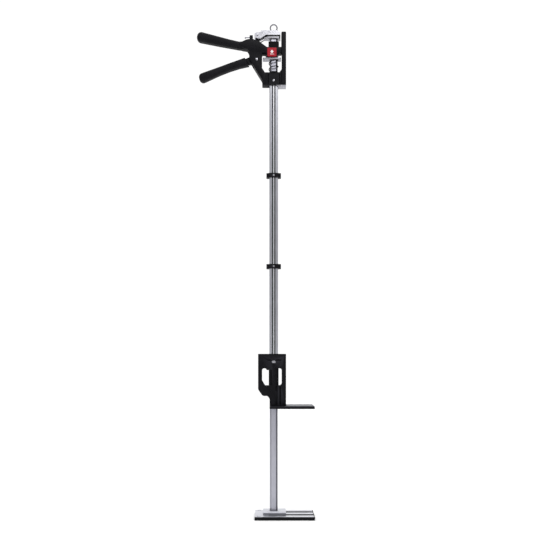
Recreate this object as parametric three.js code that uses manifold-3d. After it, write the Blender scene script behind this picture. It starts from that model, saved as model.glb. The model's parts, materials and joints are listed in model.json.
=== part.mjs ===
// Hand-squeezed drywall lift: a head that climbs a flat steel rod by jam plates, and hangs a
// lifting plate from a long slotted sleeve. Millimetres, +Z up, +X towards the nose of the
// lifting plate, -Y towards the operator. The origin is on the rod's axis at floor level.

import * as THREE from 'three';
import { mergeVertices } from 'three/addons/utils/BufferGeometryUtils.js';
import Module from 'manifold-3d';

const wasm = await Module();
wasm.setup();

// ---- driving dimensions ----

const fit = 0.1;                 // gap between pieces that touch
const running = 0.3;             // gap between pieces that move past each other

const base = {
  left: -39.2, right: 84, halfDepth: 38.5,
  padFloor: 2, top: 7,
  lip: 1.5, lipTop: 6.4,
  grooveInner: 7.6, grooveOuter: 21.3, grooveDepth: 2.2, grooveStart: -10,
  holeX: -30.4, holeY: 31, holeRadius: 2.4, sinkRadius: 4.2,
  noseScrewX: 71, noseScrewY: 29.5,
};
const block = { left: -21.8, right: 25.2, halfDepth: 18.3, height: 7.1, bevel: 2.2, screwX: 14.5 };

const rod = { width: 16.4, depth: 7.6, chamferX: 3.5, chamferY: 2.3, top: 1006 };
const eye = { centreZ: 1021.3, ringRadius: 7, wire: 1.4, collarRadius: 3.6, shankRadius: 2.4, shank: 12 };

const sleeve = {
  halfWidth: 9, front: -6.5, back: 4.7, wall: 0.7,
  grooveInner: 1.1, grooveOuter: 3.7, grooveDepth: 1.7,
  bottom: 318.2, top: 912,
};
const collar = { halfWidth: 15.2, bodyHalfWidth: 10, front: -7.6, back: 6, earHalfDepth: 5.6, height: 9.6 };
const collarHeights = [522.4, 711.8];

const head = {
  halfDepth: 9, edge: 0.8,
  bottom: 899.1, boardTop: 978.2,
  left: -23.9, barSide: 15.8,
  blockTop: 925.4, windowTop: 966.6, windowLeft: -24.3,
  bossBottom: 957.9, bossLeft: -14.2, bossRight: 6.6,
  screwZ: 908.1,
};
const socket = { left: -10.7, right: 11.7, front: -9, back: 6.6, bottom: 899.2, top: 921.4, sideGap: 1 };
const bar = { left: 15.9, right: 25.8, bottom: 899.1, top: 1010, halfDepth: 9, relief: 0.7, screwHeights: [972.6, 914] };
const badge = { left: -13.2, right: 5.8, bottom: 957.8, top: 976, thickness: 1 };
const footPad = { left: 6.4, right: 25.8, bottom: 896.6, corner: 1.4, screwPlaces: [14.4, 20.8] };
const handle = { halfDepth: 8.5, edge: 5 };
const pivot = { x: -35.3, z: 952.3, radius: 2.5 };
const slot = { halfWidth: 4.4 };
const stop = { screwZ: 1001.4, headX: -58.4, postLeft: -50.2, postRight: -43.4, postTop: 1004.6 };

const lever = { halfWidth: 4, noseX: -13, noseHalf: 2.2, noseBottom: 956.9 };
const grip = { halfDepth: 8.5, edge: 5 };

const jam = { bottom: 953.4, top: 956.6, left: -22.6, right: 15, halfDepth: 7 };
const spring = { radius: 9.9, wire: 0.7, turns: 1.95, seatTop: 927.2, seatRadius: 10.4 };

const bush = { halfWidth: 10.9, halfDepth: 8.6, corner: 1.2, top: 989.5 };
const hold = {
  left: -20.6, right: 12.2, halfDepth: 7,
  bottom: 997.2, split: 999.3, top: 1001.5, upperLeft: -14.2,
};
const clip = {
  thickness: 1.2, halfWidth: 8.3, innerHalfWidth: 7.3,
  top: 1003, right: 13.8, kneeX: -14.6, footX: -31.4, footZ: 991.8,
};

const release = {
  pinX: -33.8, pinZ: 1003.2, pinRadius: 1.6,
  cheekIn: 5.3, cheekOut: 7,
  bottom: 1003.9, top: 1013.4, right: 12,
};

const carrier = {
  left: -32.5, right: 25.7, bottom: 227, top: 340.1, halfDepth: 9,
  windowBottom: 274.7, windowTop: 309.9, screwZ: 323.4, flangeX: 20.4,
};
const tube = { width: 20.6, depth: 11, bottom: 262, top: 317.8 };
const lift = { left: -8.6, right: 83.6, halfDepth: 38.5, bottom: 227, thickness: 4.9, pad: 1.4 };

// ---- materials ----

function finish(colour, roughness, metalness) {
  return new THREE.MeshStandardMaterial({ color: colour, roughness, metalness });
}

const blackPaint = () => finish(0x242329, 0.55, 0.1);
const blackGrip = () => finish(0x26252a, 0.7, 0);
const blackRubber = () => finish(0x151519, 0.85, 0);
const blackNylon = () => finish(0x0d0d10, 0.6, 0);
const springSteel = () => finish(0x1b1b1e, 0.45, 0.6);
const rodSteel = () => finish(0xb4b6c8, 0.35, 0.7);
const sleeveAluminium = () => finish(0xb0b2bd, 0.4, 0.7);
const baseAluminium = () => finish(0xc8c8d7, 0.45, 0.6);
const greyPad = () => finish(0x55565a, 0.6, 0);
const plateSteel = () => finish(0x8e8e93, 0.5, 0.8);
const brightZinc = () => finish(0xd6d6de, 0.3, 0.85);
const redEnamel = () => finish(0xbe1e32, 0.35, 0);

// ---- geometry helpers ----

function toSolid(geometry) {
  geometry.deleteAttribute('normal');
  geometry.deleteAttribute('uv');
  const merged = mergeVertices(geometry, 1e-4);
  return new wasm.Manifold(new wasm.Mesh({
    numProp: 3,
    vertProperties: new Float32Array(merged.attributes.position.array),
    triVerts: new Uint32Array(merged.index.array),
  }));
}

function toGeometry(solid) {
  const mesh = solid.getMesh();
  const geometry = new THREE.BufferGeometry();
  geometry.setAttribute('position', new THREE.BufferAttribute(new Float32Array(mesh.vertProperties), 3));
  geometry.setIndex(new THREE.BufferAttribute(new Uint32Array(mesh.triVerts), 1));
  return geometry;
}

function cut(body, ...tools) {
  let solid = toSolid(body);
  for (const tool of tools) {
    solid = solid.subtract(toSolid(tool));
  }
  return toGeometry(solid);
}

function join(...bodies) {
  let solid = toSolid(bodies[0]);
  for (const body of bodies.slice(1)) {
    solid = solid.add(toSolid(body));
  }
  return toGeometry(solid);
}

// A closed outline through corners [a, b, radius], where a radius rounds that corner.
function outline(corners) {
  const shape = new THREE.Shape();
  const count = corners.length;
  corners.forEach(([a, b, radius = 0], i) => {
    const corner = new THREE.Vector2(a, b);
    const before = new THREE.Vector2(...corners[(i + count - 1) % count]).sub(corner).normalize();
    const after = new THREE.Vector2(...corners[(i + 1) % count]).sub(corner).normalize();
    const half = Math.acos(before.dot(after)) / 2;
    const start = corner.clone().addScaledVector(before, radius / Math.tan(half));
    if (i === 0) {
      shape.moveTo(start.x, start.y);
    } else {
      shape.lineTo(start.x, start.y);
    }
    if (radius > 0) {
      const middle = before.clone().add(after).normalize();
      const centre = corner.clone().addScaledVector(middle, radius / Math.sin(half));
      const end = corner.clone().addScaledVector(after, radius / Math.tan(half));
      const startAngle = start.clone().sub(centre).angle();
      const endAngle = end.clone().sub(centre).angle();
      shape.absarc(centre.x, centre.y, radius, startAngle, endAngle, before.cross(after) > 0);
    }
  });
  shape.closePath();
  return shape;
}

// An outline drawn in X and Z, thick from front to back in Y, with optional rounded edges.
function slab(shape, front, back, edge = 0) {
  const geometry = new THREE.ExtrudeGeometry(shape, {
    depth: back - front - 2 * edge,
    bevelEnabled: edge > 0,
    bevelSize: edge,
    bevelThickness: edge,
    bevelOffset: -edge,
    bevelSegments: edge > 2 ? 4 : 2,
    curveSegments: 4,
  });
  geometry.rotateX(Math.PI / 2);
  geometry.translate(0, back - edge, 0);
  return geometry;
}

// An outline drawn in X and Y, standing from bottom to top in Z.
function column(shape, bottom, top) {
  const geometry = new THREE.ExtrudeGeometry(shape, { depth: top - bottom, bevelEnabled: false, curveSegments: 4 });
  geometry.translate(0, 0, bottom);
  return geometry;
}

// An outline drawn in Y and Z, running from left to right in X.
function rail(shape, left, right) {
  const geometry = new THREE.ExtrudeGeometry(shape, { depth: right - left, bevelEnabled: false, curveSegments: 6 });
  const turn = new THREE.Matrix4().makeBasis(
    new THREE.Vector3(0, 1, 0), new THREE.Vector3(0, 0, 1), new THREE.Vector3(1, 0, 0));
  geometry.applyMatrix4(turn);
  geometry.translate(left, 0, 0);
  return geometry;
}

function box(x0, x1, y0, y1, z0, z1) {
  const geometry = new THREE.BoxGeometry(x1 - x0, y1 - y0, z1 - z0);
  geometry.translate((x0 + x1) / 2, (y0 + y1) / 2, (z0 + z1) / 2);
  return geometry;
}

function along(geometry, start, direction) {
  const turn = new THREE.Quaternion().setFromUnitVectors(
    new THREE.Vector3(0, 1, 0), new THREE.Vector3(...direction).normalize());
  geometry.applyQuaternion(turn);
  geometry.translate(...start);
  return geometry;
}

// A round bar from start, of the given length along a direction.
function round(start, direction, length, radius, sides = 20) {
  const geometry = new THREE.CylinderGeometry(radius, radius, length, sides);
  geometry.translate(0, length / 2, 0);
  return along(geometry, start, direction);
}

// A turned piece: [radius, distance] steps from the axis and back to it.
function turned(steps, start, direction, sides = 20) {
  const profile = steps.map(([radius, distance]) => new THREE.Vector2(radius, distance));
  return along(new THREE.LatheGeometry(profile, sides), start, direction);
}

function rectangle(width, depth, chamfer = 0) {
  const a = width / 2;
  const b = depth / 2;
  if (chamfer === 0) {
    return outline([[-a, -b], [a, -b], [a, b], [-a, b]]);
  }
  return outline([
    [-a + chamfer, -b], [a - chamfer, -b], [a, -b + chamfer], [a, b - chamfer],
    [a - chamfer, b], [-a + chamfer, b], [-a, b - chamfer], [-a, -b + chamfer],
  ]);
}

// A screw with a domed head outside the face at start and a shank going in along direction.
function domedScrew(start, direction, headRadius, headHeight, shankRadius, length) {
  return turned([
    [0, -headHeight], [headRadius * 0.7, -headHeight * 0.8], [headRadius, -headHeight * 0.2],
    [headRadius, 0], [shankRadius, 0], [shankRadius, length], [0, length],
  ], start, direction, 12);
}

// A screw whose flat conical head is flush with the face at start.
function sunkScrew(start, direction, headRadius, shankRadius, length) {
  return turned([
    [0, 0], [headRadius, 0], [headRadius, 0.3], [shankRadius, headRadius - shankRadius + 0.3],
    [shankRadius, length], [0, length],
  ], start, direction, 12);
}

// The hole that such a screw sits in, a little wider, and open past the face.
function sunkHole(start, direction, headRadius, shankRadius, length) {
  const wide = headRadius + fit;
  const narrow = shankRadius + fit;
  return turned([
    [0, -1], [wide, -1], [wide, 0.3 + fit], [narrow, headRadius - shankRadius + 0.3 + fit],
    [narrow, length + fit], [0, length + fit],
  ], start, direction, 12);
}

const up = [0, 0, 1];
const down = [0, 0, -1];
const inwards = [0, 1, 0];

const model = new THREE.Group();

function add(name, geometry, material) {
  const mesh = new THREE.Mesh(geometry, material);
  mesh.name = name;
  model.add(mesh);
}

// ---- base foot and rod ----

function grooveBox(side, grow, zLow, zHigh, right) {
  const a = side * (base.grooveInner - grow);
  const b = side * (base.grooveOuter + grow);
  return box(base.grooveStart - grow, right, Math.min(a, b), Math.max(a, b), zLow, zHigh);
}

function basePad() {
  const body = box(base.left, base.right, -base.halfDepth, base.halfDepth, 0, base.lipTop);
  const seat = box(
    base.left - 1, base.right - base.lip, -base.halfDepth + base.lip, base.halfDepth - base.lip,
    base.padFloor, base.lipTop + 1);
  const drains = [-1, 1].map((side) =>
    round([base.holeX, side * base.holeY, -1], up, base.padFloor + 2, base.sinkRadius));
  return cut(body, seat, ...drains);
}

function noseScrewPlaces() {
  return [['front', -base.noseScrewY], ['middle', 0], ['rear', base.noseScrewY]];
}

function basePlate() {
  const bottom = base.padFloor + fit;
  const body = box(
    base.left, base.right - base.lip - fit,
    -base.halfDepth + base.lip + fit, base.halfDepth - base.lip - fit, bottom, base.top);
  const tools = [];
  for (const side of [-1, 1]) {
    tools.push(grooveBox(side, 0, base.top - base.grooveDepth, base.top + 1, base.right + 1));
    tools.push(sunkHole([base.holeX, side * base.holeY, base.top], down, base.sinkRadius, base.holeRadius, 8));
    tools.push(sunkHole([side * block.screwX, 0, bottom], up, 3.6, 2, 8));
  }
  tools.push(sunkHole([0, 0, bottom], up, 4, 2.4, 8));
  for (const [, y] of noseScrewPlaces()) {
    tools.push(sunkHole([base.noseScrewX, y, base.top], down, 2.6, 1.3, 4.4));
  }
  return cut(body, ...tools);
}

function gripStrip(side) {
  const top = base.top - 1;
  return grooveBox(side, -fit, base.top - base.grooveDepth + fit, top, base.right - base.lip - fit);
}

function socketBlock() {
  const low = base.top + fit;
  const high = base.top + block.height;
  const profile = outline([
    [-block.halfDepth, low], [block.halfDepth, low], [block.halfDepth, high - block.bevel],
    [block.halfDepth - block.bevel, high], [-block.halfDepth + block.bevel, high],
    [-block.halfDepth, high - block.bevel],
  ]);
  const body = rail(profile, block.left, block.right);
  const pocket = column(rodOutline(fit), low - 1, high + 1);
  const holes = [-1, 1].map((side) => round([side * block.screwX, 0, low - 1], up, 5.6, 2 + fit));
  return cut(body, pocket, ...holes);
}

function rodOutline(grow) {
  const a = rod.width / 2 + grow;
  const b = rod.depth / 2 + grow;
  const cx = rod.chamferX;
  const cy = rod.chamferY;
  return outline([
    [-a + cx, -b], [a - cx, -b], [a, -b + cy], [a, b - cy],
    [a - cx, b], [-a + cx, b], [-a, b - cy], [-a, -b + cy],
  ]);
}

function liftRod() {
  const bottom = base.top + fit;
  const body = column(rodOutline(0), bottom, rod.top);
  const eyeHole = round([0, 0, rod.top - eye.shank - fit], up, eye.shank + 2, eye.shankRadius + fit);
  const screwHole = round([0, 0, bottom - 1], up, 10.2, 2.4 + fit);
  return cut(body, eyeHole, screwHole);
}

function hangingEye() {
  const ring = new THREE.TorusGeometry(eye.ringRadius, eye.wire, 8, 24);
  ring.rotateX(Math.PI / 2);
  ring.translate(0, 0, eye.centreZ);
  const foot = rod.top + fit;
  const stem = turned([
    [0, -eye.shank], [eye.shankRadius, -eye.shank], [eye.shankRadius, 0], [eye.collarRadius, 0],
    [eye.collarRadius, 5], [2, 8.6], [0, 8.6],
  ], [0, 0, foot], up, 20);
  return join(ring, stem);
}

add('base_pad', basePad(), blackRubber());
add('base_plate', basePlate(), baseAluminium());
add('grip_strip_front', gripStrip(-1), blackRubber());
add('grip_strip_rear', gripStrip(1), blackRubber());
add('socket_block', socketBlock(), baseAluminium());
for (const [place, side] of [['left', -1], ['right', 1]]) {
  const start = [side * block.screwX, 0, base.padFloor + fit];
  add(`block_screw_${place}`, sunkScrew(start, up, 3.6, 2, 9), brightZinc());
}
for (const [place, y] of noseScrewPlaces()) {
  add(`nose_screw_${place}`, sunkScrew([base.noseScrewX, y, base.top], down, 2.6, 1.3, 4.4), brightZinc());
}
add('rod_screw', sunkScrew([0, 0, base.padFloor + fit], up, 4, 2.4, 13), brightZinc());
add('lift_rod', liftRod(), rodSteel());
add('hanging_eye', hangingEye(), brightZinc());

// ---- climbing head ----

function handleOutline() {
  return outline([
    [-157.6, 1012.9, 8.9], [-91.3, 995.3], [-72, 990.9], [-60, 991.6], [-48, 985],
    [-50, 973.6], [-72, 976], [-112.2, 983.2], [-161.9, 993, 8.9],
  ]);
}

function bodyOutline() {
  return outline([
    [-72, 984], [-68.4, 988.4, 5], [-57.6, 993.4, 8], [-51, 994.8, 5], [-42.4, 994.5, 4], [-36.5, 991.4, 6],
    [-30.6, 990, 4], [-14.4, head.boardTop, 3], [head.barSide, head.boardTop],
    [head.barSide, head.windowTop], [10.4, head.windowTop, 1.5], [head.bossRight, head.bossBottom],
    [head.bossLeft, head.bossBottom], [-17.6, head.windowTop, 1.5], [head.windowLeft, head.windowTop, 3],
    [head.windowLeft, 934.6, 2], [-18.4, head.blockTop], [11.8, head.blockTop],
    [head.barSide, 931], [head.barSide, head.bottom], [head.left, head.bottom, 1],
    [head.left, 909.6, 4], [-45.8, 945.2, 8], [-50.8, 955, 8], [-51.5, 968.4, 3], [-55, 974.6, 3], [-66, 976.4],
  ]);
}

// The slot between the two cheeks that the squeeze lever's root and nose swing in.
function leverSlot() {
  const path = outline([
    [-64, 973.4], [-44, 973.4], [-36, 975.4], [-8, 975.4], [-8, 950], [-26, 938], [-40, 938], [-64, 926],
  ]);
  return slab(path, -slot.halfWidth, slot.halfWidth);
}

// The eared lug that carries the release lever's pin.
function releaseLug() {
  const { pinX, pinZ } = release;
  return slab(outline([
    [-38, 985], [-33.2, 985], [-33.2, pinZ - 5], [pinX + 3.4, pinZ - 2.6], [pinX + 3.4, pinZ + 3.4, 3],
    [-38, pinZ + 3.4, 3],
  ]), -4.7, 4.7);
}

function stopPost() {
  return slab(outline([
    [stop.postLeft, 990], [stop.postRight, 990], [stop.postRight, stop.postTop, 1], [stop.postLeft, stop.postTop, 1],
  ]), -4, 4);
}

function sleeveWay(grow, low, high) {
  const a = sleeve.halfWidth + grow;
  return box(-a, a, sleeve.front - grow, sleeve.back + grow, low, high);
}

function headFrame() {
  const deep = head.halfDepth;
  const board = slab(bodyOutline(), -deep, deep, head.edge);
  const arm = slab(handleOutline(), -handle.halfDepth, handle.halfDepth, handle.edge);
  const frame = join(board, arm, releaseLug(), stopPost());
  const tools = [
    leverSlot(),
    column(rodOutline(running), head.blockTop - 4, head.boardTop + 1),
    box(socket.left - socket.sideGap, socket.right + socket.sideGap, -deep - 1, socket.back + fit,
      head.bottom - 1, socket.top + fit),
    round([pivot.x, -20, pivot.z], inwards, 40, pivot.radius + fit, 24),
    round([release.pinX, -20, release.pinZ], inwards, 40, release.pinRadius + fit, 16),
    round([-60, 0, stop.screwZ], [1, 0, 0], 18, 1.3 + fit, 12),
  ];
  for (const z of bar.screwHeights) {
    tools.push(round([9.9, 0, z], [1, 0, 0], 10, 2 + fit, 14));
  }
  tools.push(round([footPad.screwPlaces[0], 0, head.bottom - 1], up, 7, 1 + fit, 12));
  return cut(frame, ...tools);
}

function frontBar() {
  const relief = bar.left + bar.relief;
  const shape = outline([
    [bar.left, bar.bottom], [bar.right, bar.bottom], [bar.right, bar.top, 2], [bar.left, bar.top, 2],
    [bar.left, head.windowTop + 2], [relief, head.windowTop], [relief, 934], [bar.left, 931],
  ]);
  const body = slab(shape, -bar.halfDepth, bar.halfDepth, 0.8);
  const holes = bar.screwHeights.map((z) => sunkHole([bar.right, 0, z], [-1, 0, 0], 3.8, 2, 14));
  const capHole = round([footPad.screwPlaces[1], 0, bar.bottom - 1], up, 7, 1 + fit, 12);
  return cut(body, ...holes, capHole);
}

function footPlate() {
  const { left, right, bottom, corner } = footPad;
  const top = bar.bottom - fit;
  const shape = outline([[left, bottom, corner], [right, bottom, corner], [right, top], [left, top]]);
  const body = slab(shape, -bar.halfDepth, bar.halfDepth, 0.6);
  const holes = footPad.screwPlaces.map((x) => sunkHole([x, 0, bottom], up, 1.8, 1, 9));
  return cut(body, sleeveWay(0.3, bottom - 1, top + 1), ...holes);
}

// The block that clamps the top of the sleeve into the head.
function sleeveSocket() {
  const body = box(socket.left, socket.right, socket.front, socket.back, socket.bottom, socket.top);
  return cut(body,
    sleeveWay(fit, socket.bottom - 1, sleeve.top + fit),
    column(rodOutline(0.2), sleeve.top - 1, socket.top + 1),
    round([0, -20, head.screwZ], inwards, 20, 1.6 + fit, 14));
}

function guideBush() {
  const { halfWidth: a, halfDepth: b, corner, top } = bush;
  const low = head.boardTop + fit;
  const shape = outline([[-a, -b, corner], [a, -b, corner], [a, b, corner], [-a, b, corner]]);
  return cut(column(shape, low, top), column(rodOutline(0.15), low - 1, top + 1));
}

function springSeat() {
  const low = head.blockTop + fit;
  const profile = [[0, low], [spring.seatRadius, low], [spring.seatRadius, spring.seatTop], [0, spring.seatTop]];
  return cut(turned(profile, [0, 0, 0], up, 24), column(rodOutline(0.2), low - 1, spring.seatTop + 1));
}

class Coil extends THREE.Curve {
  constructor(radius, bottom, height, turns) {
    super();
    this.radius = radius;
    this.bottom = bottom;
    this.height = height;
    this.turns = turns;
  }

  getPoint(t, target = new THREE.Vector3()) {
    const angle = 2 * Math.PI * this.turns * t;
    return target.set(this.radius * Math.cos(angle), this.radius * Math.sin(angle), this.bottom + this.height * t);
  }
}

function driveSpring() {
  const clear = spring.wire + 2 * fit;
  const low = spring.seatTop + clear;
  const high = jam.bottom - clear;
  const section = new THREE.Shape();
  section.absarc(0, 0, spring.wire, 0, 2 * Math.PI);
  return new THREE.ExtrudeGeometry(section, {
    steps: 44,
    curveSegments: 4,
    bevelEnabled: false,
    extrudePath: new Coil(spring.radius, low, high - low, spring.turns),
  });
}

function badgePlate() {
  const front = -head.halfDepth;
  return box(badge.left, badge.right, front - badge.thickness, front - fit, badge.bottom, badge.top);
}

function pivotPin() {
  const reach = head.halfDepth + 0.6;
  return round([pivot.x, -reach, pivot.z], inwards, 2 * reach, pivot.radius, 24);
}

add('head_frame', headFrame(), blackPaint());
add('front_bar', frontBar(), blackPaint());
['upper', 'lower'].forEach((place, i) => {
  add(`bar_screw_${place}`, sunkScrew([bar.right, 0, bar.screwHeights[i]], [-1, 0, 0], 3.8, 2, 14), brightZinc());
});
add('foot_plate', footPlate(), plateSteel());
['left', 'right'].forEach((place, i) => {
  add(`foot_screw_${place}`, sunkScrew([footPad.screwPlaces[i], 0, footPad.bottom], up, 1.8, 1, 8), brightZinc());
});
add('sleeve_socket', sleeveSocket(), blackPaint());
add('badge', badgePlate(), redEnamel());
add('pivot_pin', pivotPin(), brightZinc());
add('guide_bush', guideBush(), blackNylon());
add('spring_seat', springSeat(), blackNylon());
add('drive_spring', driveSpring(), springSteel());
add('head_screw', domedScrew([0, socket.front - fit, head.screwZ], inwards, 2.4, 1, 1.6, 2.2), brightZinc());
add('stop_screw', domedScrew([stop.headX, 0, stop.screwZ], [1, 0, 0], 2.4, 2.2, 1.3, 14.6), brightZinc());
add('release_pin', round([release.pinX, -8.4, release.pinZ], inwards, 16.8, release.pinRadius, 16), brightZinc());

// ---- squeeze lever ----

function gripOutline() {
  return outline([
    [-157.9, 922.4, 8.4], [-112.2, 938.6], [-91.3, 946.4], [-70.4, 953.7],
    [-60.4, 957.4], [-50.4, 941.7], [-70.4, 937.2], [-91.3, 930.6], [-112.2, 922.4],
    [-152.2, 904, 8.4],
  ]);
}

function leverOutline() {
  const left = lever.noseX - lever.noseHalf;
  const right = lever.noseX + lever.noseHalf;
  const low = lever.noseBottom;
  return outline([
    [-110, 933.4], [-89, 942.4], [-62, 954], [-51, 958.6, 10], [-41, 963.6, 8], [-33.5, 970.6, 5],
    [-18, 970.6, 4], [right, 961.2, 2], [right, low, 1.5], [left, low, 1.5], [left, 963.4, 2.5], [-23, 964.4, 3],
    [-28, 961, 5], [-29.2, 949.4, 5], [-36, 944.8, 5], [-50, 944.6, 10], [-78.6, 939], [-105.1, 930],
  ]);
}

function squeezeLever() {
  const body = slab(leverOutline(), -lever.halfWidth, lever.halfWidth);
  return cut(body, round([pivot.x, -6, pivot.z], inwards, 12, pivot.radius + 0.15, 24));
}

function squeezeGrip() {
  const body = slab(gripOutline(), -grip.halfDepth, grip.halfDepth, grip.edge);
  const pocket = slab(outline([
    [-110.4, 935.4], [-62, 956], [-46, 962], [-46, 942], [-78.6, 938.2], [-110.4, 927],
  ]), -lever.halfWidth - fit, lever.halfWidth + fit);
  return cut(body, pocket);
}

add('squeeze_lever', squeezeLever(), blackPaint());
add('squeeze_grip', squeezeGrip(), blackGrip());

// ---- drive and hold plates ----

function jamPlate(left, right, halfDepth, bottom, top, gap) {
  const corners = outline([
    [left, -halfDepth, 1.5], [right, -halfDepth, 1.5], [right, halfDepth, 1.5], [left, halfDepth, 1.5],
  ]);
  return cut(column(corners, bottom, top), column(rodOutline(gap), bottom - 1, top + 1));
}

const jamMiddle = (jam.bottom + jam.top) / 2;
add('drive_plate_lower', jamPlate(jam.left, jam.right, jam.halfDepth, jam.bottom, jamMiddle - fit / 2, 0.4), plateSteel());
add('drive_plate_upper', jamPlate(jam.left, jam.right, jam.halfDepth, jamMiddle + fit / 2, jam.top, 0.4), plateSteel());
add('hold_plate_lower', jamPlate(hold.left, hold.right, hold.halfDepth, hold.bottom, hold.split, 0.7), plateSteel());
add('hold_plate_upper', jamPlate(hold.upperLeft, hold.right, hold.halfDepth, hold.split + fit, hold.top, 0.7), plateSteel());

// The spring clip over the hold plates: a flat top, a short right leg, and a sloping side strap at
// the front and rear that reach down past the plates to a foot on the frame.
function holdClip() {
  const t = clip.thickness;
  const strap = outline([
    [clip.footX, clip.footZ], [clip.footX + 1, clip.footZ], [clip.kneeX + 0.7, clip.top - t],
    [clip.right - t, clip.top - t], [clip.right - t, hold.bottom], [clip.right, hold.bottom],
    [clip.right, clip.top, 1], [clip.kneeX, clip.top, 1], [clip.footX, clip.footZ + 1.6],
  ]);
  const wide = clip.innerHalfWidth;
  const between = box(clip.footX + 2.4, clip.kneeX - 1, -wide, wide, clip.footZ - 1, clip.top + 1);
  return cut(slab(strap, -clip.halfWidth, clip.halfWidth), column(rodOutline(0.8), 980, 1010), between);
}

add('hold_clip', holdClip(), springSteel());

// ---- release lever ----

function releaseLever() {
  const { pinX, pinZ, cheekIn, cheekOut, bottom, top, right } = release;
  const side = outline([
    [pinX - 6.2, pinZ - 5, 5], [pinX - 6.2, pinZ + 6.3, 5], [-27.4, pinZ + 6.3, 1.5], [-22, top, 3],
    [9, top, 2], [right, top - 3.4, 2], [right + 2.6, top - 4.6, 0.5], [right + 2.6, top - 6.6, 0.5],
    [right, bottom, 1], [-15.5, bottom, 2], [-27.4, 997, 2], [-32, 996.4, 2],
  ]);
  const body = slab(side, -cheekOut, cheekOut);
  const middle = box(-60, 20, -cheekIn, cheekIn, 980, 1030);
  const bridge = box(-27, -11.2, -cheekIn - 1, cheekIn + 1, top - 2.4, top);
  const tip = box(9.6, right, -cheekIn - 1, cheekIn + 1, bottom + 1, bottom + 5);
  const hollow = cut(body, middle);
  return cut(join(hollow, bridge, tip), round([pinX, -20, pinZ], inwards, 40, release.pinRadius + 0.15, 16));
}

add('release_lever', releaseLever(), brightZinc());

// ---- slotted sleeve and collars ----

// A closed extrusion round the rod: two grooves in its front wall leave a rib between them.
function sleeveOutline() {
  const a = sleeve.halfWidth;
  const { front, back, grooveInner: near, grooveOuter: far, grooveDepth: deep } = sleeve;
  return outline([
    [-a, front, 1], [-far, front], [-far, front + deep], [-near, front + deep], [-near, front], [near, front],
    [near, front + deep], [far, front + deep], [far, front], [a, front, 1], [a, back, 1], [-a, back, 1],
  ]);
}

function sleevePiece(low, high) {
  const a = sleeve.halfWidth - sleeve.wall;
  const b = rod.depth / 2 + fit;
  return cut(column(sleeveOutline(), low, high), box(-a, a, -b, b, low - 1, high + 1));
}

function collarRing(middle) {
  const a = collar.halfWidth;
  const b = collar.bodyHalfWidth;
  const ear = collar.earHalfDepth;
  const low = middle - collar.height / 2;
  const high = middle + collar.height / 2;
  const centre = column(outline([
    [-b, collar.front, 1], [b, collar.front, 1], [b, collar.back, 1], [-b, collar.back, 1],
  ]), low, high);
  const ears = column(outline([
    [-a, -ear, 2.6], [a, -ear, 2.6], [a, ear, 2.6], [-a, ear, 2.6],
  ]), low, high);
  const hole = round([0, collar.front - 1, middle], inwards, 4, 1 + fit, 12);
  return cut(join(centre, ears), sleeveWay(fit, low - 1, high + 1), hole);
}

const joints = [sleeve.bottom, ...collarHeights, sleeve.top];
['lower', 'middle', 'upper'].forEach((place, i) => {
  add(`sleeve_${place}`, sleevePiece(joints[i] + fit / 2, joints[i + 1] - fit / 2), sleeveAluminium());
});
['lower', 'upper'].forEach((place, i) => {
  const z = collarHeights[i];
  add(`collar_${place}`, collarRing(z), blackPaint());
  const face = [0, collar.front - fit, z];
  add(`collar_screw_${place}`, domedScrew(face, inwards, 1.9, 0.8, 1, 1), brightZinc());
});

// ---- carrier and lifting plate ----

function carrierOutline() {
  const foot = carrier.bottom + lift.thickness + fit;
  return outline([
    [carrier.left, carrier.top, 1], [carrier.left, 266, 8], [-22.8, 252.2, 7], [-12.8, 252.6, 5],
    [lift.left, 246.6, 4], [lift.left, foot], [carrier.right, foot], [carrier.right, carrier.top, 1],
  ]);
}

function carrierWindows() {
  const { windowBottom: low, windowTop: high } = carrier;
  const left = outline([
    [-24.2, high, 4], [-16.2, high, 3.5], [-14.6, high - 3.6, 1], [-4, high - 3.6], [-4, low], [-18, low, 2],
    [-24.2, low + 10.4, 3],
  ]);
  const right = outline([[4, high], [16.7, high, 4.2], [16.7, low, 5.6], [4, low]]);
  return [left, right].map((shape) => slab(shape, -20, 20));
}

function carrierFrame() {
  const deep = carrier.halfDepth;
  const foot = carrier.bottom + lift.thickness;
  const body = slab(carrierOutline(), -deep, deep, 0.8);
  const tools = [
    ...carrierWindows(),
    column(rodOutline(running), foot - 1, carrier.top + 1),
    column(rectangle(tube.width + 2 * fit, tube.depth + 2 * fit), tube.bottom - fit, tube.top + fit),
    sleeveWay(fit, tube.top, carrier.top + 1),
    box(2.9, 8, -deep - 1, -deep + 3.6, 233.4, 273),
    box(12, 15.3, -deep - 1, -deep + 5, 233.4, 273),
    box(-14, -6.4, -deep - 1, -deep + 1.2, 325.4, 328.6),
    box(5.2, 16, -deep - 1, -deep + 1.2, 325.4, 328.6),
    round([0, -20, carrier.screwZ], inwards, 20, 1.6 + fit, 14),
  ];
  for (const [, y] of plateScrewPlaces()) {
    tools.push(round([carrier.flangeX, y, foot - 1], up, 9, 1.6 + fit, 12));
  }
  return cut(body, ...tools);
}

function guideTube() {
  const body = column(rectangle(tube.width, tube.depth, 3), tube.bottom, tube.top);
  return cut(body, column(rodOutline(0.15), tube.bottom - 1, tube.top + 1));
}

function carrierScrew() {
  const z = carrier.screwZ;
  const shape = outline([[-4.1, z - 2.3, 2.2], [4.1, z - 2.3, 2.2], [4.1, z + 2.3, 2.2], [-4.1, z + 2.3, 2.2]]);
  const headPiece = slab(shape, -carrier.halfDepth - 1.3, -carrier.halfDepth - fit);
  const shank = round([0, -carrier.halfDepth - 0.5, z], inwards, 2.6, 1.6, 14);
  return join(headPiece, shank);
}

function plateScrewPlaces() {
  return [['front', -5], ['rear', 5]];
}

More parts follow.
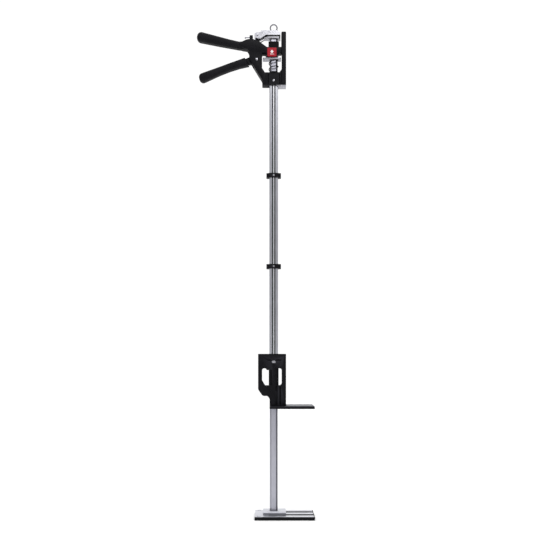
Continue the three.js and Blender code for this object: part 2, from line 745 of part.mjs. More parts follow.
function rodNotch(low, high) {
  return box(-20, rod.width / 2 + running, -rod.depth / 2 - running, rod.depth / 2 + running, low, high);
}

function liftingPlate() {
  const high = lift.bottom + lift.thickness;
  const profile = outline([
    [-lift.halfDepth, lift.bottom], [lift.halfDepth, lift.bottom], [lift.halfDepth, high], [-lift.halfDepth, high],
  ]);
  const holes = plateScrewPlaces().map(([, y]) => sunkHole([carrier.flangeX, y, lift.bottom], up, 3, 1.6, 8));
  return cut(rail(profile, lift.left, lift.right), rodNotch(lift.bottom - 1, high + 1), ...holes);
}

// The grip pad on the lifting plate, from the carrier's face to the nose.
function liftingPad() {
  const low = lift.bottom + lift.thickness + fit;
  const top = lift.bottom + lift.thickness + lift.pad;
  return box(carrier.right + 0.4, lift.right - 1.2, -lift.halfDepth + 1, lift.halfDepth - 1, low, top);
}

add('carrier_frame', carrierFrame(), blackPaint());
add('guide_tube', guideTube(), blackPaint());
add('carrier_screw', carrierScrew(), brightZinc());
add('lifting_plate', liftingPlate(), blackPaint());
add('lifting_pad', liftingPad(), greyPad());
for (const [place, y] of plateScrewPlaces()) {
  add(`plate_screw_${place}`, sunkScrew([carrier.flangeX, y, lift.bottom], up, 3, 1.6, 12), brightZinc());
}

export default model;
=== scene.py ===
"""Drywall lift: looks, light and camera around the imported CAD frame."""
import json
import math

import bmesh
import bpy
from mathutils import Matrix, Vector


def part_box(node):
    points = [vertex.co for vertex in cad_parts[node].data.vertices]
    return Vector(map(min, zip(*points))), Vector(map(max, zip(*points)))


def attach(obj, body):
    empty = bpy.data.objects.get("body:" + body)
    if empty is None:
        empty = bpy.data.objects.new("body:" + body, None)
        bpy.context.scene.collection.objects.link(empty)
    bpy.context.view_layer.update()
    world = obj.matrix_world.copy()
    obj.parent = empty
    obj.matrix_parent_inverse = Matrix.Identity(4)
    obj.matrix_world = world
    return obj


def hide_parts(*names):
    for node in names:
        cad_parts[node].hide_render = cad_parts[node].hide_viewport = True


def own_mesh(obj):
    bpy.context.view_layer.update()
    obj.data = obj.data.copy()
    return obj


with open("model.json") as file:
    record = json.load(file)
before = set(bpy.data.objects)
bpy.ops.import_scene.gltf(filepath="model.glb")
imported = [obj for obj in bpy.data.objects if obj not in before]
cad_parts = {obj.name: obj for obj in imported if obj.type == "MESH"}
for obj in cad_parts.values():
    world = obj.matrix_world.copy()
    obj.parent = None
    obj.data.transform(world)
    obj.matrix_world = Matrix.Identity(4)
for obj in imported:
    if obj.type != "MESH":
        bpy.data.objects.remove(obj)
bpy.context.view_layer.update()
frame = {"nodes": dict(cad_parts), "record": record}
nodes = frame["nodes"]
body_of_node = {
    node: body
    for body, members in frame["record"]["behaviour"]["bodies"].items()
    for node in members
}
slot_of_node = {row["node"]: row["material_slot"] for row in frame["record"]["subparts"]}

MM = 0.001
UP = Vector((0, 0, 1))
SLEEVE_RIB = 1.1 * MM       # half the width of the rib down the sleeve's front
SLEEVE_GROOVE = 3.5 * MM    # from the sleeve's middle to the outer side of a groove
DRAWN_METALLIC = 0.9
DRAWN_ANISOTROPY = 0.35

# ---- camera ----

EYE_HEIGHT = 0.3067
CAMERA_DISTANCE = 1.459
CAMERA_X = -0.0077
SENSOR = 36
FOCAL_IN_FRAMES = 698 / 540
FRAMING_SHIFT = 0.185


def make_camera():
    data = bpy.data.cameras.new("camera")
    camera = bpy.data.objects.new("camera", data)
    bpy.context.scene.collection.objects.link(camera)
    camera.location = (CAMERA_X, -CAMERA_DISTANCE, EYE_HEIGHT)
    camera.rotation_euler = (math.radians(90), 0, 0)
    data.sensor_width = SENSOR
    data.lens = SENSOR * FOCAL_IN_FRAMES
    data.shift_y = FRAMING_SHIFT
    data.clip_end = 50
    bpy.context.scene.camera = camera


# ---- node trees ----


class Tree:
    """A short way to write a node tree."""

    def __init__(self, owner):
        owner.use_nodes = True
        self.tree = owner.node_tree
        self.nodes = owner.node_tree.nodes

    def add(self, kind, *inputs, **settings):
        node = self.nodes.new(kind)
        for name, value in settings.items():
            setattr(node, name, value)
        for i, value in enumerate(inputs):
            if value is not None:
                self.put(value, node.inputs[i])
        return node

    def put(self, value, socket):
        if isinstance(value, bpy.types.NodeSocket):
            self.tree.links.new(value, socket)
        else:
            socket.default_value = value

    def math(self, operation, a, b=None, clamp=False):
        return self.add("ShaderNodeMath", a, b, operation=operation, use_clamp=clamp).outputs[0]

    def place(self):
        return self.add("ShaderNodeTexCoord").outputs["Object"]

    def stretched(self, scale):
        """Object coordinates in metres, multiplied by scale along X, Y and Z."""
        return self.add("ShaderNodeMapping", self.place(), None, None, scale, vector_type="POINT").outputs[0]

    def noise(self, where, scale=1.0, detail=3.0, roughness=0.5):
        node = self.add("ShaderNodeTexNoise")
        self.put(where, node.inputs["Vector"])
        node.inputs["Scale"].default_value = scale
        node.inputs["Detail"].default_value = detail
        node.inputs["Roughness"].default_value = roughness
        return node.outputs["Fac"]

    def cells(self, where, scale, feature="F1"):
        node = self.add("ShaderNodeTexVoronoi", feature=feature)
        self.put(where, node.inputs["Vector"])
        node.inputs["Scale"].default_value = scale
        return node.outputs["Distance"]

    def between(self, value, low, high):
        """A value from 0 to 1 turned into one from low to high."""
        node = self.add("ShaderNodeMapRange", value, 0.3, 0.7, low, high)
        return node.outputs[0]

    def step(self, value, start, end):
        return self.add("ShaderNodeMapRange", value, start, end, 0.0, 1.0).outputs[0]

    def mixed(self, factor, colour_a, colour_b):
        node = self.add("ShaderNodeMix", data_type="RGBA")
        self.put(factor, node.inputs[0])
        self.put(colour_a, node.inputs[6])
        self.put(colour_b, node.inputs[7])
        return node.outputs[2]

    def bump(self, height, distance, strength=1.0, under=None):
        node = self.add("ShaderNodeBump")
        node.inputs["Strength"].default_value = strength
        node.inputs["Distance"].default_value = distance
        self.put(height, node.inputs["Height"])
        if under is not None:
            self.put(under, node.inputs["Normal"])
        return node.outputs[0]


def linear(channel):
    """One 0-255 screen value as linear light."""
    c = channel / 255
    return c / 12.92 if c <= 0.04045 else ((c + 0.055) / 1.055) ** 2.4


def screen(red, green, blue):
    return (linear(red), linear(green), linear(blue), 1)


materials = {}


def material(name, metallic=0.0, coat=0.0, anisotropic=0.0):
    """An empty material with a Principled shader, and its tree."""
    made = bpy.data.materials.new(name)
    tree = Tree(made)
    shader = tree.nodes["Principled BSDF"]
    shader.inputs["Metallic"].default_value = metallic
    shader.inputs["Coat Weight"].default_value = coat
    shader.inputs["Anisotropic"].default_value = anisotropic
    materials[name] = made
    return tree, shader


def dress(tree, shader, colour, roughness, normal):
    tree.put(colour, shader.inputs["Base Color"])
    tree.put(roughness, shader.inputs["Roughness"])
    tree.put(normal, shader.inputs["Normal"])


def powder_coat():
    """Charcoal powder coat: a fine orange-peel skin, small pits, and paler rubbed corners."""
    tree, shader = material("black_paint")
    grain = tree.noise(tree.place(), 1400, 2)
    skin = tree.noise(tree.place(), 420, 3)
    cloud = tree.noise(tree.place(), 35, 2)
    colour = tree.mixed(tree.between(cloud, 0, 1), screen(15, 14, 18), screen(22, 22, 26))
    edge = tree.add("ShaderNodeNewGeometry").outputs["Pointiness"]
    colour = tree.mixed(tree.math("MULTIPLY", tree.step(edge, 0.54, 0.66), 0.5), colour, screen(52, 52, 58))
    normal = tree.bump(grain, 0.00006, 0.5, tree.bump(skin, 0.0002, 0.45))
    dress(tree, shader, colour, tree.between(skin, 0.4, 0.56), normal)
    shader.inputs["Specular IOR Level"].default_value = 0.1


def moulded_grip():
    """Moulded nylon with a fine leather-like texture."""
    tree, shader = material("black_grip")
    cells = tree.cells(tree.place(), 900)
    cloud = tree.noise(tree.place(), 60, 3)
    colour = tree.mixed(tree.between(cloud, 0, 1), screen(16, 15, 19), screen(24, 23, 28))
    normal = tree.bump(cells, 0.00012, 0.6, tree.bump(cloud, 0.0004, 0.2))
    dress(tree, shader, colour, tree.between(cells, 0.66, 0.5), normal)
    shader.inputs["Specular IOR Level"].default_value = 0.1


def rubber():
    """Matt rubber with a little dust."""
    tree, shader = material("black_rubber")
    grain = tree.noise(tree.place(), 1600, 3)
    dust = tree.noise(tree.place(), 45, 4)
    colour = tree.mixed(tree.between(dust, 0, 1), screen(12, 12, 15), screen(22, 22, 26))
    dress(tree, shader, colour, tree.between(dust, 0.75, 0.9), tree.bump(grain, 0.00012, 0.6))
    shader.inputs["Specular IOR Level"].default_value = 0.2


def machined_nylon():
    """Machined nylon with faint level tool marks."""
    tree, shader = material("black_nylon")
    rings = tree.noise(tree.stretched((120, 120, 3500)), 1, 2)
    cloud = tree.noise(tree.place(), 90, 2)
    colour = tree.mixed(tree.between(cloud, 0, 1), screen(5, 5, 6), screen(10, 10, 12))
    dress(tree, shader, colour, tree.between(rings, 0.38, 0.55), tree.bump(rings, 0.00008, 0.6))
    shader.inputs["Specular IOR Level"].default_value = 0.08


def black_oxide():
    """Blackened spring wire."""
    tree, shader = material("spring_steel")
    cloud = tree.noise(tree.place(), 500, 4)
    colour = tree.mixed(tree.between(cloud, 0, 1), screen(6, 6, 7), screen(14, 13, 15))
    dress(tree, shader, colour, tree.between(cloud, 0.35, 0.55), tree.bump(cloud, 0.00005, 0.4))
    shader.inputs["Specular IOR Level"].default_value = 0.12


def drawn(tree, dark, light, along):
    """The fine lines of drawn metal, which run where `along` is small, and the colour that they give."""
    lines = tree.noise(tree.stretched(along), 1, 4, 0.6)
    cloud = tree.noise(tree.place(), 40, 4)
    both = tree.math("ADD", tree.math("MULTIPLY", lines, 0.6), tree.math("MULTIPLY", cloud, 0.4))
    return lines, tree.mixed(tree.between(both, 0, 1), screen(*dark), screen(*light))


def finish_drawn(tree, shader, lines, colour, smoothest):
    roughness = tree.between(lines, smoothest, smoothest + 0.16)
    dress(tree, shader, colour, roughness, tree.bump(lines, 0.00004, 0.5))


def drawn_metal(name, dark, light, along, smoothest):
    tree, shader = material(name, metallic=DRAWN_METALLIC, anisotropic=DRAWN_ANISOTROPY)
    lines, colour = drawn(tree, dark, light, along)
    finish_drawn(tree, shader, lines, colour, smoothest)


def chamfered_bar():
    """Drawn bar: lines along it, with painted shade on its chamfers and sides by the way they face."""
    tree, shader = material("rod_steel", metallic=DRAWN_METALLIC, anisotropic=DRAWN_ANISOTROPY)
    lines, colour = drawn(tree, (164, 164, 175), (190, 190, 200), (3200, 3200, 12))
    facing = tree.add("ShaderNodeSeparateXYZ", tree.add("ShaderNodeTexCoord").outputs["Normal"]).outputs[0]
    # Painted shade: faces turned towards +X go to the dark grey, those turned towards -X a third as far, for
    # the dimmer studio light from those sides.
    nose_side_painted_shade = tree.step(facing, 0.3, 0.5)
    handle_side_painted_shade = tree.math("MULTIPLY", tree.step(facing, -0.3, -0.5), 0.35)
    colour = tree.mixed(tree.math("ADD", nose_side_painted_shade, handle_side_painted_shade), colour, screen(98, 98, 106))
    finish_drawn(tree, shader, lines, colour, 0.26)


def extrusion():
    """Anodised extrusion: fine lines along it, a painted highlight down its front rib, and painted shade in
    its front grooves.
    """
    tree, shader = material("sleeve_aluminium", metallic=DRAWN_METALLIC, anisotropic=DRAWN_ANISOTROPY)
    lines, colour = drawn(tree, (184, 185, 193), (208, 209, 217), (4200, 4200, 9))
    where = tree.add("ShaderNodeSeparateXYZ", tree.place()).outputs
    across = tree.math("ABSOLUTE", where[0])
    front = tree.math("LESS_THAN", where[1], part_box("sleeve_upper")[0].y * 0.5)
    # Painted highlight down the front rib, and painted shade in the front grooves beside it; the grooves are
    # painted dark first, then the rib is painted bright over them.
    rib_painted_highlight = tree.math("MULTIPLY", tree.math("LESS_THAN", across, SLEEVE_RIB), front)
    groove_painted_shade = tree.math("MULTIPLY", tree.math("LESS_THAN", across, SLEEVE_GROOVE), front)
    colour = tree.mixed(tree.math("MULTIPLY", groove_painted_shade, 0.97), colour, screen(46, 46, 51))
    colour = tree.mixed(rib_painted_highlight, colour, screen(247, 248, 252))
    finish_drawn(tree, shader, lines, colour, 0.3)


def ground_plate():
    """Hardened plate with ground faces, a little tempered colour and scuffs."""
    tree, shader = material("plate_steel", metallic=0.85)
    lines = tree.noise(tree.stretched((300, 5200, 5200)), 1, 4, 0.6)
    heat = tree.noise(tree.place(), 130, 2)
    colour = tree.mixed(tree.between(lines, 0, 1), screen(140, 140, 147), screen(172, 172, 179))
    tempered = tree.math("MULTIPLY", tree.step(heat, 0.5, 0.75), 0.35)
    colour = tree.mixed(tempered, colour, screen(132, 120, 108))
    dress(tree, shader, colour, tree.between(lines, 0.3, 0.48), tree.bump(lines, 0.00005, 0.5))


def bright_plating():
    """Zinc plating with a faint spangle."""
    tree, shader = material("bright_zinc", metallic=0.92)
    spangle = tree.cells(tree.place(), 420)
    cloud = tree.noise(tree.place(), 220, 3)
    colour = tree.mixed(tree.between(spangle, 0, 1), screen(174, 174, 182), screen(198, 198, 204))
    dress(tree, shader, colour, tree.between(cloud, 0.2, 0.36), tree.bump(cloud, 0.00005, 0.35))


def red_enamel():
    tree, shader = material("red_enamel", coat=0.1)
    cloud = tree.noise(tree.place(), 300, 2)
    colour = tree.mixed(tree.between(cloud, 0, 1), screen(158, 14, 32), screen(172, 20, 40))
    dress(tree, shader, colour, tree.between(cloud, 0.28, 0.38), tree.bump(cloud, 0.00008, 0.25))
    shader.inputs["Specular IOR Level"].default_value = 0.2


def white_enamel():
    tree, shader = material("white_enamel", coat=0.4)
    cloud = tree.noise(tree.place(), 400, 2)
    colour = tree.mixed(tree.between(cloud, 0, 1), screen(232, 230, 230), screen(246, 244, 243))
    dress(tree, shader, colour, tree.between(cloud, 0.3, 0.4), tree.bump(cloud, 0.00006, 0.25))


def grip_sheet():
    """Grey grip sheet with a fine grit."""
    tree, shader = material("grey_pad")
    grit = tree.cells(tree.place(), 1100)
    cloud = tree.noise(tree.place(), 70, 3)
    colour = tree.mixed(tree.between(cloud, 0, 1), screen(72, 73, 78), screen(90, 91, 97))
    dress(tree, shader, colour, tree.between(cloud, 0.55, 0.7), tree.bump(grit, 0.0002, 0.6))


def make_materials():
    powder_coat()
    moulded_grip()
    rubber()
    machined_nylon()
    black_oxide()
    chamfered_bar()
    drawn_metal("base_aluminium", (146, 147, 154), (176, 177, 184), (14, 3600, 3600), 0.3)
    drawn_metal("eye_steel", (112, 112, 118), (138, 138, 144), (900, 900, 900), 0.25)
    extrusion()
    ground_plate()
    bright_plating()
    red_enamel()
    white_enamel()
    grip_sheet()


# ---- pieces ----


def piece(name, mesh, node_or_body, material_name, replaced=()):
    """Puts a new mesh in the scene, riding on a body and standing for its CAD nodes."""
    made = bpy.data.objects.new(name, mesh)
    bpy.context.scene.collection.objects.link(made)
    mesh.materials.append(materials[material_name])
    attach(made, body_of_node.get(node_or_body, node_or_body))
    if replaced:
        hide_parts(*replaced)
    return made


def to_mesh(bm, name, smooth_angle=35):
    """The bmesh as a mesh, smooth except across edges sharper than the angle."""
    bmesh.ops.recalc_face_normals(bm, faces=bm.faces[:])
    for face in bm.faces:
        face.smooth = True
    limit = math.radians(smooth_angle)
    for edge in bm.edges:
        edge.smooth = edge.is_manifold and edge.calc_face_angle(0) < limit
    mesh = bpy.data.meshes.new(name)
    bm.to_mesh(mesh)
    bm.free()
    return mesh


def turn_to(direction, start):
    """Moves +Z to the direction and the origin to the start."""
    return Matrix.Translation(start) @ UP.rotation_difference(Vector(direction)).to_matrix().to_4x4()


def lathe(bm, profile, place, sides=48):
    """A turned solid from (radius, height) steps, from the axis back to the axis."""
    rings = []
    turns = [2 * math.pi * i / sides for i in range(sides)]
    for radius, height in profile:
        if radius == 0:
            rings.append([bm.verts.new(place @ Vector((0, 0, height)))])
            continue
        rings.append([
            bm.verts.new(place @ Vector((radius * math.cos(turn), radius * math.sin(turn), height)))
            for turn in turns
        ])
    for low, high in zip(rings, rings[1:]):
        for i in range(sides):
            j = (i + 1) % sides
            if len(low) == 1:
                bm.faces.new((low[0], high[j], high[i]))
            elif len(high) == 1:
                bm.faces.new((low[i], low[j], high[0]))
            else:
                bm.faces.new((low[i], low[j], high[j], high[i]))


def sweep(bm, path, radius, sides=16, closed=False):
    """A round wire along a list of points."""
    count = len(path)
    rings = []
    side = None
    for i, point in enumerate(path):
        before = path[(i - 1) % count] if closed else path[max(i - 1, 0)]
        after = path[(i + 1) % count] if closed else path[min(i + 1, count - 1)]
        ahead = (after - before).normalized()
        guess = side if side is not None else ahead.orthogonal()
        side = (guess - ahead * guess.dot(ahead)).normalized()
        other = ahead.cross(side)
        rings.append([
            bm.verts.new(point + radius * (
                side * math.cos(2 * math.pi * k / sides) + other * math.sin(2 * math.pi * k / sides)))
            for k in range(sides)
        ])
    pairs = list(zip(rings, rings[1:])) + ([(rings[-1], rings[0])] if closed else [])
    for low, high in pairs:
        for k in range(sides):
            m = (k + 1) % sides
            bm.faces.new((low[k], low[m], high[m], high[k]))
    if not closed:
        bm.faces.new(list(reversed(rings[0])))
        bm.faces.new(rings[-1])


def soften(node, width, segments=2, angle=32):
    """The CAD node with its sharp edges rounded, as a new piece that stands for it."""
    source = nodes[node].data
    bm = bmesh.new()
    bm.from_mesh(source)
    bmesh.ops.remove_doubles(bm, verts=bm.verts[:], dist=0.00002)
    bmesh.ops.dissolve_degenerate(bm, edges=bm.edges[:], dist=0.00002)
    bmesh.ops.dissolve_limit(
        bm, angle_limit=math.radians(0.6), use_dissolve_boundaries=False,
        verts=bm.verts[:], edges=bm.edges[:])
    mesh = to_mesh(bm, node + "_fine", angle)
    made = piece(node + "_fine", mesh, node, slot_of_node[node], replaced=(node,))
    rounded = made.modifiers.new("rounded_edges", "BEVEL")
    rounded.width = width
    rounded.segments = segments
    rounded.limit_method = "ANGLE"
    rounded.angle_limit = math.radians(angle)
    rounded.use_clamp_overlap = False
    rounded.harden_normals = True
    return made


# How far each CAD node's edges are rounded; a cast or moulded edge is wider than a sawn one.
EDGE_ROUNDING = {
    "head_frame": 0.35, "front_bar": 0.3, "carrier_frame": 0.12, "guide_tube": 0.4, "sleeve_socket": 0.3,
    "lifting_plate": 0.35, "lifting_pad": 0.2, "base_plate": 0.2, "socket_block": 0.3, "base_pad": 0.4,
    "grip_strip_front": 0.15, "grip_strip_rear": 0.15, "lift_rod": 0.25, "sleeve_lower": 0.15,
    "sleeve_middle": 0.15, "sleeve_upper": 0.15, "collar_lower": 0.3, "collar_upper": 0.3,
    "foot_plate": 0.25, "guide_bush": 0.3, "spring_seat": 0.2, "squeeze_lever": 0.35, "squeeze_grip": 0.3,
    "drive_plate_lower": 0.2, "drive_plate_upper": 0.2, "hold_plate_lower": 0.2, "hold_plate_upper": 0.2,
    "hold_clip": 0.15, "release_lever": 0.12,
}


def soften_nodes():
    for node, width in EDGE_ROUNDING.items():
        soften(node, width * MM)


def cap_head(radius, height, socket):
    """A domed head from its face at height 0, with a round socket sunk in its top."""
    rim = radius * 0.86
    return [
        (0, 0), (radius, 0), (radius, height * 0.45), (radius * 0.96, height * 0.68), (rim, height * 0.9),
        (radius * 0.7, height), (socket * 1.12, height), (socket, height - 0.15 * MM), (socket, height * 0.3),
        (0, height * 0.22),
    ]


def flush_head(radius, depth, socket):
    """A flush conical head, its flat top at height 0, with a sunk socket."""
    return [
        (0, -depth), (radius * 0.45, -depth), (radius, -0.4 * MM), (radius, -0.08 * MM), (radius * 0.95, 0),
        (socket * 1.12, 0), (socket, -0.12 * MM), (socket, -depth * 0.6), (0, -depth * 0.7),
    ]


def screw(node, face, outwards, profile, slot="bright_zinc"):
    """A machine screw's turned head, where the CAD screw is."""
    bm = bmesh.new()
    lathe(bm, profile, turn_to(outwards, face))
    piece(node + "_fine", to_mesh(bm, node + "_fine", 28), node, slot, replaced=(node,))


def middle(node):
    low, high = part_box(node)
    return (low + high) / 2


def make_screws():
    front = Vector((0, -1, 0))
    for node in ("head_screw", "collar_screw_lower", "collar_screw_upper"):
        low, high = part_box(node)
        radius = (high.x - low.x) / 2
        height = radius * 0.42
        face = Vector((middle(node).x, low.y + height, middle(node).z))
        screw(node, face, front, cap_head(radius, height, radius * 0.5))
    for node in ("bar_screw_upper", "bar_screw_lower"):
        low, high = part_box(node)
        radius = (high.z - low.z) / 2
        face = Vector((high.x, 0, middle(node).z))
        screw(node, face, (1, 0, 0), flush_head(radius, 2.1 * MM, radius * 0.45))
    for node in ("nose_screw_front", "nose_screw_middle", "nose_screw_rear"):
        low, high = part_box(node)
        radius = (high.x - low.x) / 2
        top = Vector((middle(node).x, middle(node).y, high.z))
        screw(node, top, (0, 0, 1), flush_head(radius, 1.8 * MM, radius * 0.42))
    for node in ("foot_screw_left", "foot_screw_right", "plate_screw_front", "plate_screw_rear"):
        low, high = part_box(node)
        radius = (high.x - low.x) / 2
        bottom = Vector((middle(node).x, middle(node).y, low.z))
        screw(node, bottom, (0, 0, -1), flush_head(radius, radius * 0.75, radius * 0.42))


def make_stop_screw():
    """The stop screw: a plain head and a threaded shank that runs into the post."""
    low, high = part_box("stop_screw")
    radius = (high.z - low.z) / 2
    shank = radius * 0.5
    head = 2.6 * MM
    profile = [(0, 0), (radius * 0.5, 0), (radius, 0.3 * MM), (radius, head), (shank, head)]
    height = head
    pitch = 0.5 * MM
    while height + pitch < high.x - low.x:
        profile += [(shank, height + 0.1 * MM), (shank * 0.86, height + pitch * 0.5), (shank, height + pitch)]
        height += pitch
    profile.append((0, height))
    bm = bmesh.new()
    lathe(bm, profile, turn_to((1, 0, 0), Vector((low.x, 0, middle("stop_screw").z))), 32)
    piece("stop_screw_fine", to_mesh(bm, "stop_screw_fine", 28), "stop_screw", "bright_zinc",
          replaced=("stop_screw",))


def make_eye():
    """The hanging eye: a bent wire ring on a turned collar."""
    low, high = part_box("hanging_eye")
    outer = (high.x - low.x) / 2
    wire = 1.4 * MM
    ring = outer - wire
    centre = high.z - outer
    bm = bmesh.new()
    points = [
        Vector((ring * math.cos(a), 0, centre + ring * math.sin(a)))
        for a in (2 * math.pi * i / 72 for i in range(72))
    ]
    sweep(bm, points, wire, 20, closed=True)
    collar = 3.6 * MM
    top = centre - ring
    rod_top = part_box("lift_rod")[1].z
    profile = [
        (0, rod_top + 0.1 * MM), (collar * 0.9, rod_top + 0.1 * MM), (collar, rod_top + 0.5 * MM),
        (collar, rod_top + 2.2 * MM), (collar * 0.8, rod_top + 2.8 * MM), (2.3 * MM, rod_top + 3.2 * MM),
        (2.0 * MM, top), (0, top + 0.4 * MM),
    ]
    lathe(bm, profile, Matrix.Identity(4), 40)
    piece("hanging_eye_fine", to_mesh(bm, "hanging_eye_fine", 40), "hanging_eye", "eye_steel",
          replaced=("hanging_eye",))


def make_spring():
    """The drive spring, wound round the rod from its nose side."""
    low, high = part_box("drive_spring")
    wire = 0.95 * MM
    radius = (high.x - low.x) / 2 - wire
    bottom = low.z + wire
    height = high.z - low.z - 2 * wire
    turns = 1.95
    steps = 140
    points = []
    for i in range(steps + 1):
        t = i / steps
        angle = 2 * math.pi * turns * t
        points.append(Vector((radius * math.cos(angle), radius * math.sin(angle), bottom + height * t)))
    bm = bmesh.new()
    sweep(bm, points, wire, 14)
    made = piece("drive_spring_fine", to_mesh(bm, "drive_spring_fine", 50), "drive_spring", "spring_steel",
                 replaced=("drive_spring",))
    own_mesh(made)


def rivet_profile(length, shank, head, rise):
    """A round pin along +Z with a domed head at each end."""
    steps = 6
    bow = [
        (head * math.cos(math.pi / 2 * k / steps), rise * math.sin(math.pi / 2 * k / steps))
        for k in range(steps)
    ]
    start = [(radius, rise - height) for radius, height in reversed(bow)]
    end = [(radius, length - rise + height) for radius, height in bow]
    return [(0, 0), *start, (shank, rise), (shank, length - rise), *end, (0, length)]


def make_pins():
    """The lever's domed pivot pin, and the release lever's pin with a groove at each end."""
    low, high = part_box("pivot_pin")
    outer = (high.x - low.x) / 2
    bm = bmesh.new()
    profile = rivet_profile(high.y - low.y, outer * 0.97, outer, 0.55 * MM)
    lathe(bm, profile, turn_to((0, 1, 0), Vector((middle("pivot_pin").x, low.y, middle("pivot_pin").z))), 40)
    piece("pivot_pin_fine", to_mesh(bm, "pivot_pin_fine", 35), "pivot_pin", "bright_zinc",
          replaced=("pivot_pin",))
    low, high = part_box("release_pin")
    radius = (high.x - low.x) / 2
    length = high.y - low.y
    groove = 0.25 * MM
    profile = [
        (0, 0), (radius * 0.8, 0), (radius, 0.2 * MM), (radius, 0.35 * MM), (radius - groove, 0.35 * MM),
        (radius - groove, 0.7 * MM), (radius, 0.7 * MM), (radius, length - 0.7 * MM),
        (radius - groove, length - 0.7 * MM), (radius - groove, length - 0.35 * MM),
        (radius, length - 0.35 * MM), (radius, length - 0.2 * MM), (radius * 0.8, length), (0, length),
    ]
    bm = bmesh.new()
    start = Vector((middle("release_pin").x, low.y, middle("release_pin").z))
    lathe(bm, profile, turn_to((0, 1, 0), start), 32)
    piece("release_pin_fine", to_mesh(bm, "release_pin_fine", 35), "release_pin", "bright_zinc",
          replaced=("release_pin",))


def prism(bm, outline, front, back):
    """A flat piece from an X-Z outline between two depths."""
    rings = [[bm.verts.new(Vector((x, y, z))) for x, z in outline] for y in (front, back)]
    bm.faces.new(rings[0])
    bm.faces.new(list(reversed(rings[1])))
    count = len(outline)
    for i in range(count):
        j = (i + 1) % count
        bm.faces.new((rings[0][j], rings[0][i], rings[1][i], rings[1][j]))


def make_badge():
    """An enamel plate with rounded corners, and a plain raised arrow over a bar."""
    low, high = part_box("badge")
    corner = 1.3 * MM
    outline = []
    steps = 6
    for cx, cz, start in (
        (high.x - corner, high.z - corner, 0), (low.x + corner, high.z - corner, 90),
        (low.x + corner, low.z + corner, 180), (high.x - corner, low.z + corner, 270),
    ):
        for k in range(steps + 1):
            a = math.radians(start + 90 * k / steps)
            outline.append((cx + corner * math.cos(a), cz + corner * math.sin(a)))
    bm = bmesh.new()
    face = low.y + 0.2 * MM
    prism(bm, outline, face, high.y)
    made = piece("badge_fine", to_mesh(bm, "badge_fine", 35), "badge", "red_enamel", replaced=("badge",))
    edge = made.modifiers.new("rounded_edges", "BEVEL")
    edge.width = 0.15 * MM
    edge.segments = 2
    edge.limit_method = "ANGLE"
    x = (low.x + high.x) / 2
    z = (low.z + high.z) / 2
    wide = (high.x - low.x) * 0.2
    tall = (high.z - low.z) * 0.27
    arrow = [
        (x, z + tall), (x - wide, z), (x - wide * 0.42, z), (x - wide * 0.42, z - tall * 0.5),
        (x + wide * 0.42, z - tall * 0.5), (x + wide * 0.42, z), (x + wide, z),
    ]
    bar = [
        (x - wide, z - tall * 0.8), (x - wide, z - tall), (x + wide, z - tall), (x + wide, z - tall * 0.8),
    ]
    bm = bmesh.new()
    prism(bm, arrow, low.y, face + 0.05 * MM)
    prism(bm, bar, low.y, face + 0.05 * MM)
    piece("badge_motif", to_mesh(bm, "badge_motif", 35), "badge", "white_enamel")


def make_carrier_screw():
    """The carrier's clamp screw, with the edges of its oblong head rounded."""
    soften("carrier_screw", 0.35 * MM, 3)


def dress_cad_nodes():
    """Gives every CAD node its slot's material, shown or not."""
    for name, node in nodes.items():
        finish = materials[slot_of_node[name]]
        if node.material_slots:
            for place in node.material_slots:
                place.material = finish
        else:
            node.data.materials.append(finish)


# ---- floor and light ----

FLOOR_HALF = 6          # metres
FRONT_DIMMING = 0.68    # how far each side is taken down from 1, low down
RIGHT_DIMMING = 0.85
LEFT_DIMMING = 0.6
BACK_GLOW = 0.5         # how far the back and the top are lifted above 1
OVERHEAD_GLOW = 1.3
DARKEST = 0.1
BACKDROP = 1.05         # the level that the camera sees behind the lift


def make_floor():
    bm = bmesh.new()
    corners = ((-1, -1), (1, -1), (1, 1), (-1, 1))
    bm.faces.new([bm.verts.new((x * FLOOR_HALF, y * FLOOR_HALF, 0)) for x, y in corners])
    mesh = bpy.data.meshes.new("floor")
    bm.to_mesh(mesh)
    bm.free()
    floor = bpy.data.objects.new("floor", mesh)
    bpy.context.scene.collection.objects.link(floor)
    tree, shader = material("floor")
    cloud = tree.noise(tree.place(), 3, 2)
    colour = tree.mixed(cloud, (0.72, 0.72, 0.72, 1), (0.74, 0.74, 0.74, 1))
    tree.put(colour, shader.inputs["Base Color"])
    shader.inputs["Roughness"].default_value = 0.95
    shader.inputs["Specular IOR Level"].default_value = 0.0
    floor.data.materials.append(materials["floor"])


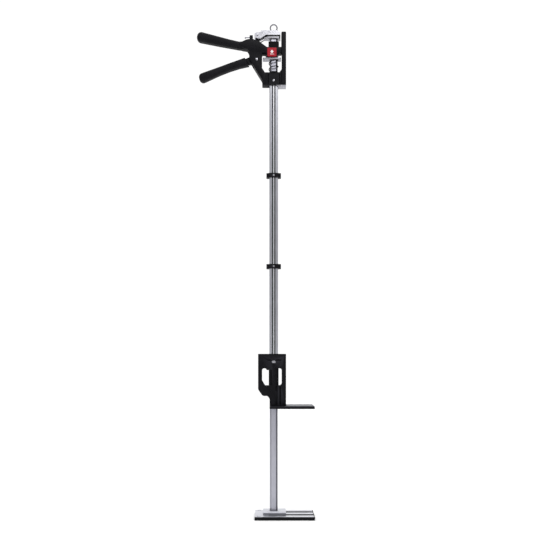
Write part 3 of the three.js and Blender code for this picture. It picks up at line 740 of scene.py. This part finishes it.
def make_world():
    """A white studio: bright overhead and behind, dimmer in front and at both sides."""
    world = bpy.data.worlds.new("studio")
    tree = Tree(world)
    direction = tree.add("ShaderNodeTexCoord").outputs["Generated"]
    parts = tree.add("ShaderNodeSeparateXYZ", direction).outputs
    low = tree.step(parts[2], 0.8, 0.55)
    front = tree.math("MULTIPLY", tree.math("MULTIPLY", tree.step(parts[1], 0.1, -0.9), low), -FRONT_DIMMING)
    right = tree.math("MULTIPLY", tree.math("MULTIPLY", tree.step(parts[0], 0.3, 0.9), low), -RIGHT_DIMMING)
    left = tree.math("MULTIPLY", tree.math("MULTIPLY", tree.step(parts[0], -0.3, -0.9), low), -LEFT_DIMMING)
    back = tree.math("MULTIPLY", tree.step(parts[1], 0.3, 0.9), BACK_GLOW)
    above = tree.math("MULTIPLY", tree.step(parts[2], 0.4, 0.9), OVERHEAD_GLOW)
    sides = tree.math("ADD", tree.math("ADD", right, left), back)
    level = tree.math("ADD", tree.math("ADD", front, sides), tree.math("ADD", above, 1.0))
    level = tree.math("MAXIMUM", level, DARKEST)
    seen = tree.add("ShaderNodeLightPath").outputs["Is Camera Ray"]
    strength = tree.add("ShaderNodeMix", data_type="FLOAT")
    tree.put(seen, strength.inputs[0])
    tree.put(level, strength.inputs[2])
    tree.put(BACKDROP, strength.inputs[3])
    background = tree.nodes["Background"]
    background.inputs["Color"].default_value = (1, 1, 1, 1)
    tree.put(strength.outputs[0], background.inputs["Strength"])
    bpy.context.scene.world = world


def make_softbox(name, place, towards, size, power):
    data = bpy.data.lights.new(name, "AREA")
    data.shape = "RECTANGLE"
    data.size, data.size_y = size
    data.energy = power
    light = bpy.data.objects.new(name, data)
    bpy.context.scene.collection.objects.link(light)
    light.location = place
    light.rotation_euler = (Vector(towards) - Vector(place)).to_track_quat("-Z", "Y").to_euler()


def make_light():
    make_world()
    make_softbox("front_softbox", (0.35, -1.5, 1.9), (0, 0, 0.9), (0.5, 0.5), 6)
    bpy.context.scene.view_settings.view_transform = "Standard"


make_camera()
make_materials()
dress_cad_nodes()
soften_nodes()
make_screws()
make_carrier_screw()
make_stop_screw()
make_eye()
make_spring()
make_pins()
make_badge()
make_floor()
make_light()
